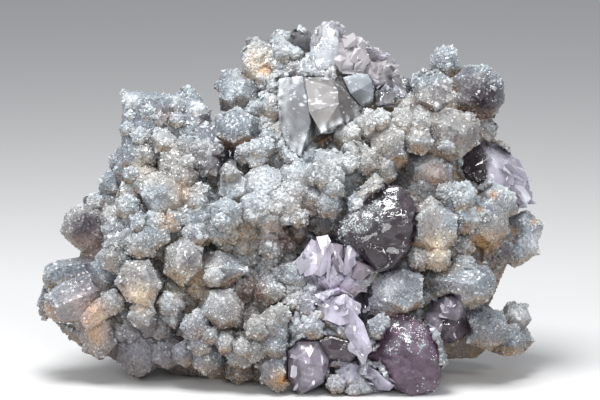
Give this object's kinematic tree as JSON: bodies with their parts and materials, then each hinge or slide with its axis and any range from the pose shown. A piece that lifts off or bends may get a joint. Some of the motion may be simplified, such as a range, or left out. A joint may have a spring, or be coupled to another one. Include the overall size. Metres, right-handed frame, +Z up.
{
  "type": "quartz crystal cluster",
  "caption": "Cluster of stubby quartz crystals under sparkling druse, with glassy amethyst and broken milky quartz, standing on its flat foot.",
  "frame": {"origin": "middle of the bottom of the bounding box, on the surface the cluster stands on", "axes": "+Z up, +X along the longest side, and -Y out of the side that is shown"},
  "size_m": [0.1264, 0.0592, 0.0868],
  "materials": {
    "quartz": "grey-white druse with amethyst hearts and rust-coloured stains"
  },
  "bodies": {
    "root": {"quartz_cluster": "quartz"}
  },
  "joints": []
}
